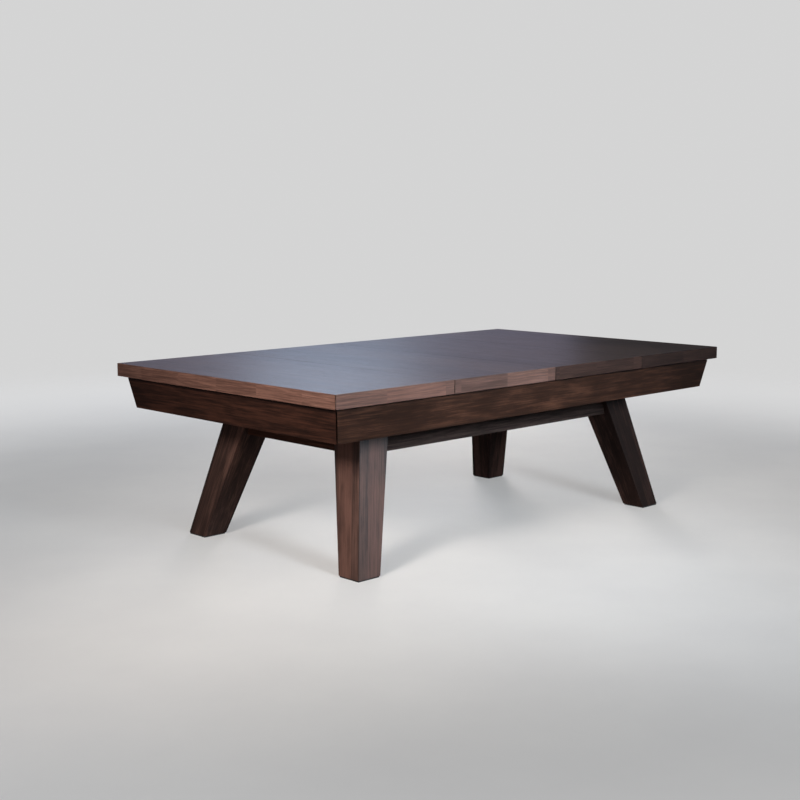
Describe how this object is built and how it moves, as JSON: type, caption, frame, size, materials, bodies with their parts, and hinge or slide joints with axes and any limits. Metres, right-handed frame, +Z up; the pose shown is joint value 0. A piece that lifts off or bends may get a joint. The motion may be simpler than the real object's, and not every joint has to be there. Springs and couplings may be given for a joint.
{
  "type": "pool table",
  "caption": "Slate bed pool table with splayed square legs and a wooden dining cover in lift-off panels over the rails and drop pockets.",
  "frame": {"origin": "on the floor, under the middle of the table", "axes": "+X along the table's length, +Y across it, +Z up"},
  "size_m": [2.617, 1.5, 0.813],
  "materials": {
    "cover_wood": "satin, stained dark",
    "cover_edge_wood": "satin, stained dark",
    "pad_felt": "matt felt",
    "rail_wood": "satin, stained dark",
    "cushion_cloth": "matt wool cloth over rubber",
    "sight": "polished",
    "bolt_steel": "zinc plated",
    "pocket_leather": "dark, semi-matt",
    "bed_cloth": "matt wool cloth",
    "slate": "honed",
    "backing_board": "plain, unfinished",
    "cabinet_wood": "satin, stained dark",
    "inner_wood": "plain, unfinished",
    "base_wood": "satin, stained very dark",
    "leg_wood": "satin, stained dark",
    "foot_rubber": "matt black"
  },
  "bodies": {
    "table": {"rail_1": "rail_wood", "rail_2": "rail_wood", "rail_3": "rail_wood", "rail_4": "rail_wood", "rail_5": "rail_wood", "rail_6": "rail_wood", "cushion_1": "cushion_cloth", "cushion_2": "cushion_cloth", "cushion_3": "cushion_cloth", "cushion_4": "cushion_cloth", "cushion_5": "cushion_cloth", "cushion_6": "cushion_cloth", "sights": "sight", "rail_bolts": "bolt_steel", "pocket_1": "pocket_leather", "pocket_2": "pocket_leather", "pocket_3": "pocket_leather", "pocket_4": "pocket_leather", "pocket_5": "pocket_leather", "pocket_6": "pocket_leather", "bed_cloth": "bed_cloth", "slate_1": "slate", "slate_2": "slate", "slate_3": "slate", "slate_screws": "bolt_steel", "slate_backing": "backing_board", "cabinet_front": "cabinet_wood", "cabinet_back": "cabinet_wood", "cabinet_left": "cabinet_wood", "cabinet_right": "cabinet_wood", "corner_blocks": "inner_wood", "cross_beams": "inner_wood", "long_beams": "inner_wood", "cabinet_bolts": "bolt_steel", "base_front": "base_wood", "base_back": "base_wood", "base_left": "base_wood", "base_right": "base_wood", "corner_braces": "inner_wood", "leg_bolts": "bolt_steel", "leg_1": "leg_wood", "leg_2": "leg_wood", "leg_3": "leg_wood", "leg_4": "leg_wood"},
    "cover_1": {"cover_panel_1": "cover_wood", "cover_edge_1": "cover_edge_wood", "cover_pads_1": "pad_felt"},
    "cover_2": {"cover_panel_2": "cover_wood", "cover_edge_2": "cover_edge_wood", "cover_pads_2": "pad_felt"},
    "cover_3": {"cover_panel_3": "cover_wood", "cover_edge_3": "cover_edge_wood", "cover_pads_3": "pad_felt"},
    "cover_4": {"cover_panel_4": "cover_wood", "cover_edge_4": "cover_edge_wood", "cover_pads_4": "pad_felt"},
    "leveller_1": {"foot_1": "foot_rubber"},
    "leveller_2": {"foot_2": "foot_rubber"},
    "leveller_3": {"foot_3": "foot_rubber"},
    "leveller_4": {"foot_4": "foot_rubber"}
  },
  "joints": [
    {"name": "cover_1_lift", "type": "slide", "parent": "table", "child": "cover_1", "axis": [0, 0, 1], "range_m": [0, 0.5]},
    {"name": "cover_2_lift", "type": "slide", "parent": "table", "child": "cover_2", "axis": [0, 0, 1], "range_m": [0, 0.5]},
    {"name": "cover_3_lift", "type": "slide", "parent": "table", "child": "cover_3", "axis": [0, 0, 1], "range_m": [0, 0.5]},
    {"name": "cover_4_lift", "type": "slide", "parent": "table", "child": "cover_4", "axis": [0, 0, 1], "range_m": [0, 0.5]},
    {"name": "leveller_1_screw", "type": "slide", "parent": "table", "child": "leveller_1", "axis": [0, 0, -1], "range_m": [0, 0.02]},
    {"name": "leveller_2_screw", "type": "slide", "parent": "table", "child": "leveller_2", "axis": [0, 0, -1], "range_m": [0, 0.02]},
    {"name": "leveller_3_screw", "type": "slide", "parent": "table", "child": "leveller_3", "axis": [0, 0, -1], "range_m": [0, 0.02]},
    {"name": "leveller_4_screw", "type": "slide", "parent": "table", "child": "leveller_4", "axis": [0, 0, -1], "range_m": [0, 0.02]}
  ]
}
